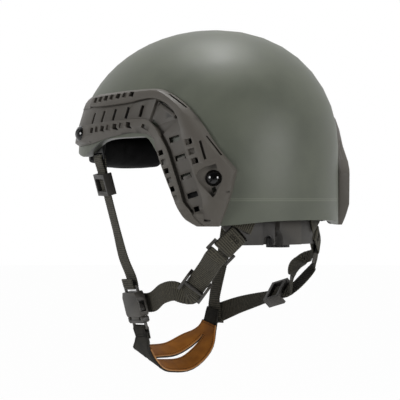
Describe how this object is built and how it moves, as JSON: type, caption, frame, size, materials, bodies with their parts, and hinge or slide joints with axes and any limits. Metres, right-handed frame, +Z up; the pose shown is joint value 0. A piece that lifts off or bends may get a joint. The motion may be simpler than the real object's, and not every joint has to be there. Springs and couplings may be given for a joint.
{
  "type": "combat helmet",
  "caption": "High-cut helmet with slotted side rails, a front shroud, pads, a dial-fit headband and a four-point strap with chin sling and side-release buckle.",
  "frame": {"origin": "the head seat: centre of the crown pad's underside, where the top of the wearer's head rests", "axes": "+X to the wearer's left, -Y the way the wearer faces, +Z up through the crown"},
  "size_m": [0.2518, 0.2709, 0.3335],
  "materials": {
    "shell_coat": "matt, finely grained coating",
    "rail_polymer": "moulded, fine matt grain",
    "black_screw": "black, smooth and glossy",
    "pad_cloth": "brushed loop cloth over foam",
    "hook_tape": "hook tape",
    "anchor_steel": "black coated sheet steel",
    "nape_polymer": "moulded, matt",
    "dial_polymer": "moulded, ribbed",
    "band_polymer": "flexible strip",
    "webbing": "ribbed woven webbing",
    "lining_leather": "tan, stitched along its edges",
    "buckle_polymer": "moulded, satin",
    "slider_polymer": "moulded, satin"
  },
  "bodies": {
    "helmet": {"shell": "shell_coat", "left_rail": "rail_polymer", "right_rail": "rail_polymer", "rail_screws": "black_screw", "rail_nuts": "black_screw", "front_shroud": "rail_polymer", "shroud_screws": "black_screw", "shroud_nuts": "black_screw", "crown_pad": "pad_cloth", "front_pad": "pad_cloth", "rear_pad": "pad_cloth", "front_left_pad": "pad_cloth", "front_right_pad": "pad_cloth", "rear_left_pad": "pad_cloth", "rear_right_pad": "pad_cloth", "hook_discs": "hook_tape", "front_strap_anchors": "anchor_steel", "rear_strap_anchors": "anchor_steel", "nape_plate": "nape_polymer", "nape_pad": "pad_cloth", "dial_housing": "nape_polymer", "nape_tabs": "webbing", "front_left_strap": "webbing", "front_right_strap": "webbing", "left_nape_loop": "webbing", "left_nape_ring": "slider_polymer", "rear_left_strap": "webbing", "right_nape_loop": "webbing", "right_nape_ring": "slider_polymer", "rear_right_strap": "webbing", "buckle_female": "buckle_polymer", "chin_sling": "webbing", "chin_lining": "lining_leather", "junction_patch": "webbing"},
    "dial": {"fit_dial": "dial_polymer"},
    "left_band": {"left_headband": "band_polymer"},
    "right_band": {"right_headband": "band_polymer"},
    "left_adjuster": {"front_left_adjuster": "slider_polymer"},
    "right_adjuster": {"front_right_adjuster": "slider_polymer"},
    "triglide": {"left_triglide": "slider_polymer"},
    "slider": {"right_slider": "slider_polymer"},
    "buckle_plug": {"buckle_male": "buckle_polymer"},
    "left_latch": {"left_prong": "buckle_polymer"},
    "right_latch": {"right_prong": "buckle_polymer"}
  },
  "joints": [
    {"name": "fit_dial_turn", "type": "hinge", "parent": "helmet", "child": "dial", "pos_m": [0, 0.0844, -0.1772], "axis": [0, 0, 1], "range_deg": [-25, 90]},
    {"name": "left_band_slide", "type": "slide", "parent": "helmet", "child": "left_band", "axis": [-1, 0, 0], "range_m": [-0.0021, 0.0078]},
    {"name": "right_band_slide", "type": "slide", "parent": "helmet", "child": "right_band", "axis": [1, 0, 0], "range_m": [-0.0021, 0.0078]},
    {"name": "left_front_adjust", "type": "slide", "parent": "helmet", "child": "left_adjuster", "axis": [-0.2635, 0.0751, -0.9617], "range_m": [0, 0.03]},
    {"name": "right_front_adjust", "type": "slide", "parent": "helmet", "child": "right_adjuster", "axis": [0.3388, 0.0622, -0.9388], "range_m": [0, 0.018]},
    {"name": "left_rear_adjust", "type": "slide", "parent": "helmet", "child": "triglide", "axis": [0.1797, 0.767, 0.6159], "range_m": [0, 0.014]},
    {"name": "right_rear_adjust", "type": "slide", "parent": "helmet", "child": "slider", "axis": [0.0019, -0.9656, -0.26], "range_m": [0, 0.004]},
    {"name": "buckle_release", "type": "slide", "parent": "helmet", "child": "buckle_plug", "axis": [-0.2201, 0.1, -0.9703], "range_m": [0, 0.026], "deforming": ["chin_sling", "chin_lining", "left_prong", "right_prong"]},
    {"name": "left_prong_press", "type": "hinge", "parent": "buckle_plug", "child": "left_latch", "pos_m": [0.05938, -0.03591, -0.25059], "axis": [-0.9521, 0.1943, 0.236], "range_deg": [0, 10], "stiffness_Nm_per_rad": 0.05},
    {"name": "right_prong_press", "type": "hinge", "parent": "buckle_plug", "child": "right_latch", "pos_m": [0.05574, -0.05269, -0.25149], "axis": [-0.9521, 0.1943, 0.236], "range_deg": [-10, 0], "stiffness_Nm_per_rad": 0.05}
  ],
  "couplings": [
    {"joint": "fit_dial_turn", "follows": "left_band_slide", "rad_per_m": 200},
    {"joint": "right_band_slide", "follows": "left_band_slide", "ratio": 1},
    {"joint": "right_prong_press", "follows": "left_prong_press", "ratio": -1}
  ]
}
